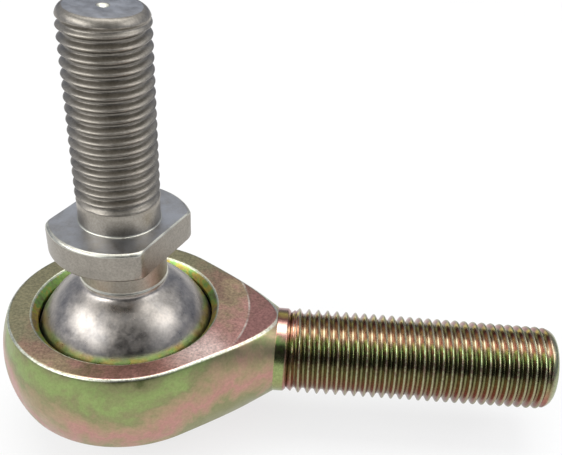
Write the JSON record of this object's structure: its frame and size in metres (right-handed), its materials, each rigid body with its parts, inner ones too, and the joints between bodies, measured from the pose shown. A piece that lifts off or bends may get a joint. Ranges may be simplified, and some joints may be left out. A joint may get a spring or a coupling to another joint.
{
  "type": "rod end bearing",
  "caption": "Male rod end: a round eye with a threaded shank, holding a swivelling ball whose threaded stud has a collar with wrench flats.",
  "frame": {"origin": "centre of the ball, on the axes of both the shank and the eye", "axes": "+X along the shank to its threaded end, +Z along the eye's axis out through the stud"},
  "size_m": [0.0607, 0.0254, 0.0448],
  "materials": {
    "body_plating": "yellow zinc chromate, iridescent",
    "race_nylon": "moulded, dark",
    "ball_plating": "satin",
    "stud_steel": "turned, matte nickel grey"
  },
  "bodies": {
    "housing": {"rod_end_body": "body_plating"},
    "race": {"bearing_race": "race_nylon"},
    "ball": {"ball": "ball_plating"},
    "stud": {"ball_stud": "stud_steel"}
  },
  "joints": [
    {"name": "race_swivel", "type": "hinge", "parent": "housing", "child": "race", "pos_m": [0, 0, 0], "axis": [0, 0, 1], "continuous": true},
    {"name": "ball_tilt", "type": "hinge", "parent": "race", "child": "ball", "pos_m": [0, 0, 0], "axis": [0, 1, 0], "range_deg": [-30, 30]},
    {"name": "stud_spin", "type": "hinge", "parent": "ball", "child": "stud", "pos_m": [0, 0, 0], "axis": [0, 0, 1], "continuous": true}
  ]
}
